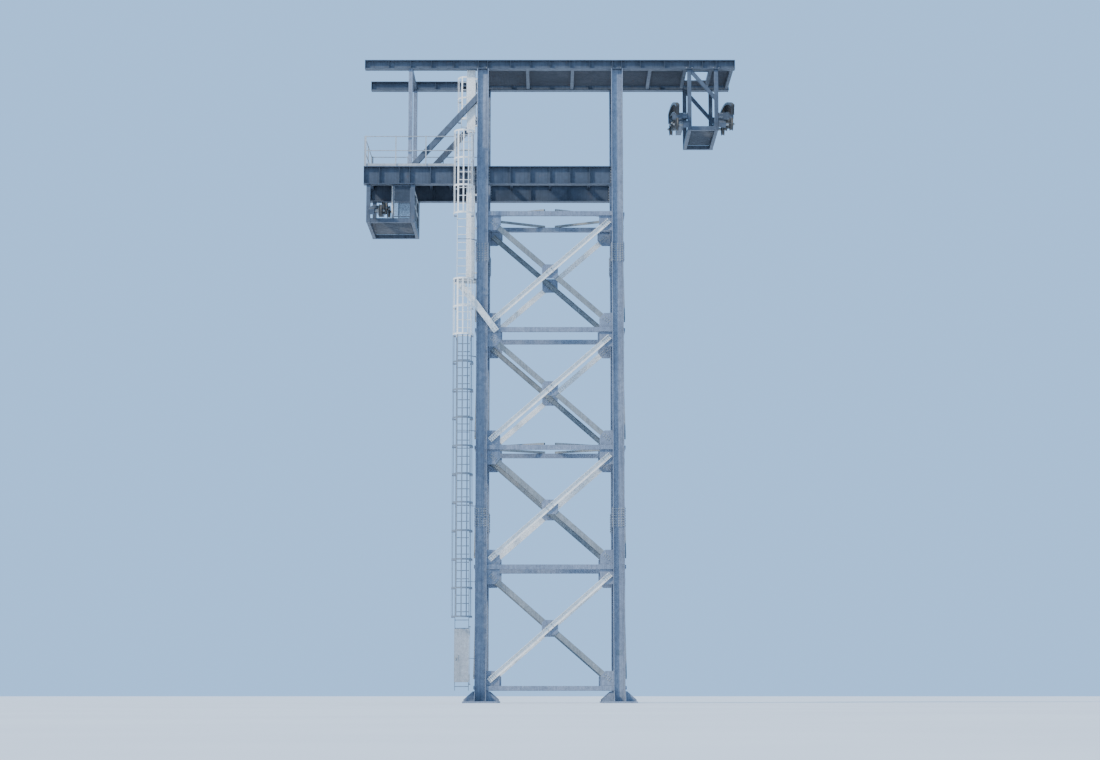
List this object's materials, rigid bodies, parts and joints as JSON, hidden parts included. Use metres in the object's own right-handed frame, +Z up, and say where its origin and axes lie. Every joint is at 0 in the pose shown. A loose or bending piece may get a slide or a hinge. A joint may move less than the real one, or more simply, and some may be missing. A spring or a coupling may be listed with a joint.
{
  "type": "ropeway support tower",
  "caption": "Steel lattice support tower for an aerial ropeway: braced four-leg shaft, twin-beam gantry and crossarm, rope saddles, haul rope rollers and caged ladder.",
  "frame": {"origin": "centre of the footprint at ground level, on the underside of the foot plates", "axes": "+Z up, +X to the arm that carries the track rope saddles, +Y uphill along the ropes, -Y the valley side that the picture shows"},
  "size_m": [13.1, 5.2334, 22.53],
  "materials": {
    "tower_steel": "weathered blue-grey galvanised steel, matt",
    "bracing_steel": "weathered pale grey galvanised steel, matt",
    "bracing_bright": "brighter galvanised steel, lightly weathered",
    "beam_steel": "dark weathered steel, matt",
    "gantry_steel": "dark slate grey weathered steel, matt",
    "bright_galvanised": "bright galvanised, lightly weathered",
    "rail_steel": "galvanised tube, matt",
    "grating": "galvanised grating",
    "door_sheet": "galvanised sheet",
    "saddle_steel": "dark greased steel",
    "roller_steel": "cast iron rim, rope-polished groove",
    "pin_steel": "machined steel"
  },
  "bodies": {
    "tower": {"arm_braces": "gantry_steel", "arm_posts": "tower_steel", "cable_duct": "bright_galvanised", "cage_hoops": "bright_galvanised", "cage_straps": "bright_galvanised", "crossarm_beams": "beam_steel", "crossarm_deck": "grating", "crossarm_joists": "beam_steel", "face_struts": "tower_steel", "falling_braces": "bracing_steel", "foot_plates": "tower_steel", "gantry_beams": "gantry_steel", "gantry_cross_members": "gantry_steel", "gantry_walkway": "grating", "gusset_plates": "tower_steel", "hanger_beams": "gantry_steel", "hanger_braces": "gantry_steel", "hanger_decks": "grating", "hanger_posts": "gantry_steel", "hinge_lugs": "tower_steel", "ladder_brackets": "tower_steel", "ladder_rungs": "bright_galvanised", "ladder_stringers": "bright_galvanised", "landing_brackets": "bracing_bright", "leg_front_left": "tower_steel", "leg_front_right": "tower_steel", "leg_rear_left": "tower_steel", "leg_rear_right": "tower_steel", "leg_splices": "tower_steel", "plan_braces": "bracing_steel", "railing_bars": "rail_steel", "railing_posts": "rail_steel", "rest_landing": "grating", "rising_braces": "bracing_bright", "roller_axles": "pin_steel", "roller_beams": "gantry_steel", "saddle_brackets": "gantry_steel", "saddle_inner": "saddle_steel", "saddle_outer": "saddle_steel", "side_braces": "bracing_steel", "side_struts": "tower_steel"},
    "roller_left_1_body": {"roller_left_1": "roller_steel"},
    "roller_left_2_body": {"roller_left_2": "roller_steel"},
    "roller_left_3_body": {"roller_left_3": "roller_steel"},
    "roller_left_4_body": {"roller_left_4": "roller_steel"},
    "roller_right_inner_1_body": {"roller_right_inner_1": "roller_steel"},
    "roller_right_inner_2_body": {"roller_right_inner_2": "roller_steel"},
    "roller_right_inner_3_body": {"roller_right_inner_3": "roller_steel"},
    "roller_right_inner_4_body": {"roller_right_inner_4": "roller_steel"},
    "roller_right_outer_1_body": {"roller_right_outer_1": "roller_steel"},
    "roller_right_outer_2_body": {"roller_right_outer_2": "roller_steel"},
    "roller_right_outer_3_body": {"roller_right_outer_3": "roller_steel"},
    "roller_right_outer_4_body": {"roller_right_outer_4": "roller_steel"},
    "guard_door_body": {"guard_door": "door_sheet"},
    "deck_gate_body": {"deck_gate": "rail_steel"},
    "deck_hatch_body": {"deck_hatch": "grating"}
  },
  "joints": [
    {"name": "roller_left_1_spin", "type": "hinge", "parent": "tower", "child": "roller_left_1_body", "pos_m": [-5.9, -1.84945, 17.00626], "axis": [1, 0, 0], "continuous": true},
    {"name": "roller_left_2_spin", "type": "hinge", "parent": "tower", "child": "roller_left_2_body", "pos_m": [-5.9, -0.61961, 17.37239], "axis": [1, 0, 0], "continuous": true},
    {"name": "roller_left_3_spin", "type": "hinge", "parent": "tower", "child": "roller_left_3_body", "pos_m": [-5.9, 0.62056, 17.63139], "axis": [1, 0, 0], "continuous": true},
    {"name": "roller_left_4_spin", "type": "hinge", "parent": "tower", "child": "roller_left_4_body", "pos_m": [-5.9, 1.85055, 17.78449], "axis": [1, 0, 0], "continuous": true},
    {"name": "roller_right_inner_1_spin", "type": "hinge", "parent": "tower", "child": "roller_right_inner_1_body", "pos_m": [4.45, -1.84945, 20.10626], "axis": [1, 0, 0], "continuous": true},
    {"name": "roller_right_inner_2_spin", "type": "hinge", "parent": "tower", "child": "roller_right_inner_2_body", "pos_m": [4.45, -0.61961, 20.47239], "axis": [1, 0, 0], "continuous": true},
    {"name": "roller_right_inner_3_spin", "type": "hinge", "parent": "tower", "child": "roller_right_inner_3_body", "pos_m": [4.45, 0.62056, 20.73139], "axis": [1, 0, 0], "continuous": true},
    {"name": "roller_right_inner_4_spin", "type": "hinge", "parent": "tower", "child": "roller_right_inner_4_body", "pos_m": [4.45, 1.85055, 20.88449], "axis": [1, 0, 0], "continuous": true},
    {"name": "roller_right_outer_1_spin", "type": "hinge", "parent": "tower", "child": "roller_right_outer_1_body", "pos_m": [6.36, -1.84945, 20.10626], "axis": [1, 0, 0], "continuous": true},
    {"name": "roller_right_outer_2_spin", "type": "hinge", "parent": "tower", "child": "roller_right_outer_2_body", "pos_m": [6.36, -0.61961, 20.47239], "axis": [1, 0, 0], "continuous": true},
    {"name": "roller_right_outer_3_spin", "type": "hinge", "parent": "tower", "child": "roller_right_outer_3_body", "pos_m": [6.36, 0.62056, 20.73139], "axis": [1, 0, 0], "continuous": true},
    {"name": "roller_right_outer_4_spin", "type": "hinge", "parent": "tower", "child": "roller_right_outer_4_body", "pos_m": [6.36, 1.85055, 20.88449], "axis": [1, 0, 0], "continuous": true},
    {"name": "guard_door_hinge", "type": "hinge", "parent": "tower", "child": "guard_door_body", "pos_m": [-2.725, -1.81, 1.6], "axis": [0, 0, 1], "range_deg": [0, 170]},
    {"name": "deck_gate_hinge", "type": "hinge", "parent": "tower", "child": "deck_gate_body", "pos_m": [-3.26, -1.512, 19.48], "axis": [0, 0, 1], "range_deg": [0, 90]},
    {"name": "deck_hatch_hinge", "type": "hinge", "parent": "tower", "child": "deck_hatch_body", "pos_m": [-5.696, 0, 18.692], "axis": [0, -1, 0], "range_deg": [0, 100]}
  ]
}
